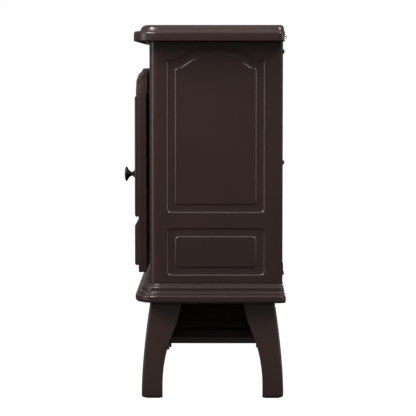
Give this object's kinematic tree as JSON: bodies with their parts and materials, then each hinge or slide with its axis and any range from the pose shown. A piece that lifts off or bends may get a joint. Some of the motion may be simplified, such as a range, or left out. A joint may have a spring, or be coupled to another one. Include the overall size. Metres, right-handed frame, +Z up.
{
  "type": "electric stove heater",
  "caption": "Free-standing electric stove with an arched swing door, flame effect, embossed steel sides, stepped top and base, and curved legs.",
  "frame": {"origin": "on the floor, in the middle of the overall width and depth", "axes": "+Z up, -Y the way the door faces, +X to the right side panel (the viewer's right as the viewer faces the door)"},
  "size_m": [0.61, 0.262, 0.598],
  "materials": {
    "bronze_coat": "satin powder coat",
    "black_gloss": "gloss",
    "black_steel": "matt black",
    "bright_steel": "zinc plated",
    "black_plastic": "moulded",
    "grey_plastic": "moulded",
    "rubber": "moulded",
    "door_glass": "clear tempered",
    "quartz": "clear quartz",
    "flame_screen": "smoked diffuser",
    "ember": "translucent",
    "bark": "painted resin",
    "board": "circuit board",
    "knob_metal": "gloss enamel"
  },
  "bodies": {
    "stove": {"top_lid": "bronze_coat", "right_side_panel": "bronze_coat", "left_side_panel": "bronze_coat", "front_frame": "bronze_coat", "base_plinth": "bronze_coat", "leg_front_right": "bronze_coat", "leg_front_left": "bronze_coat", "leg_rear_right": "bronze_coat", "leg_rear_left": "bronze_coat", "outlet_pan": "bronze_coat", "outlet_grille_right": "bronze_coat", "outlet_grille_left": "bronze_coat", "outlet_grille_front": "bronze_coat", "rear_panel": "black_steel", "upper_hinge_bracket": "black_steel", "lower_hinge_bracket": "black_steel", "firebox_liner": "black_steel", "blower_housing": "black_steel", "element_frame": "black_steel", "magnet_catch": "black_steel", "rear_screw_upper_right": "black_steel", "rear_screw_upper_left": "black_steel", "rear_screw_middle_right": "black_steel", "rear_screw_middle_left": "black_steel", "rear_screw_lower_right": "black_steel", "rear_screw_lower_left": "black_steel", "rear_screw_lid_right": "black_steel", "rear_screw_lid_left": "black_steel", "rotor_motor": "bright_steel", "blower_motor": "bright_steel", "cord_gland": "black_plastic", "thermal_cutout": "black_plastic", "control_panel": "black_plastic", "rotor_bracket": "grey_plastic", "foot_pad_front_right": "rubber", "foot_pad_front_left": "rubber", "foot_pad_rear_right": "rubber", "foot_pad_rear_left": "rubber", "quartz_tube_front": "quartz", "quartz_tube_rear": "quartz", "flame_screen": "flame_screen", "ember_bed": "ember", "log_back": "bark", "log_left": "bark", "log_right": "bark", "led_board": "board", "control_board": "board"},
    "door": {"door_frame": "bronze_coat", "door_mullions": "bronze_coat", "door_glass": "door_glass", "door_knob": "knob_metal", "knob_rosette": "knob_metal", "upper_hinge_pin": "bright_steel", "lower_hinge_pin": "bright_steel"},
    "power_switch": {"power_rocker": "black_gloss"},
    "heat_switch": {"heat_rocker": "black_gloss"},
    "thermostat_dial": {"thermostat_knob": "black_plastic"},
    "flame_dial": {"flame_knob": "black_plastic"},
    "rotor": {"flame_rotor": "bright_steel"},
    "fan": {"blower_wheel": "black_plastic"}
  },
  "joints": [
    {"name": "door_hinge", "type": "hinge", "parent": "stove", "child": "door", "pos_m": [-0.227, -0.1012, 0.344], "axis": [0, 0, -1], "range_deg": [0, 110]},
    {"name": "power_switch_tilt", "type": "hinge", "parent": "stove", "child": "power_switch", "pos_m": [-0.115, -0.0857, 0.243], "axis": [1, 0, 0], "range_deg": [0, 14]},
    {"name": "heat_switch_tilt", "type": "hinge", "parent": "stove", "child": "heat_switch", "pos_m": [-0.07, -0.0857, 0.243], "axis": [1, 0, 0], "range_deg": [0, 14]},
    {"name": "thermostat_turn", "type": "hinge", "parent": "stove", "child": "thermostat_dial", "pos_m": [0.015, -0.0871, 0.243], "axis": [0, 1, 0], "range_deg": [0, 270]},
    {"name": "flame_turn", "type": "hinge", "parent": "stove", "child": "flame_dial", "pos_m": [0.085, -0.0871, 0.243], "axis": [0, 1, 0], "range_deg": [0, 270]},
    {"name": "rotor_spin", "type": "hinge", "parent": "stove", "child": "rotor", "pos_m": [0, 0.033, 0.339], "axis": [1, 0, 0], "continuous": true},
    {"name": "fan_spin", "type": "hinge", "parent": "stove", "child": "fan", "pos_m": [0, 0.072, 0.249], "axis": [1, 0, 0], "continuous": true}
  ]
}
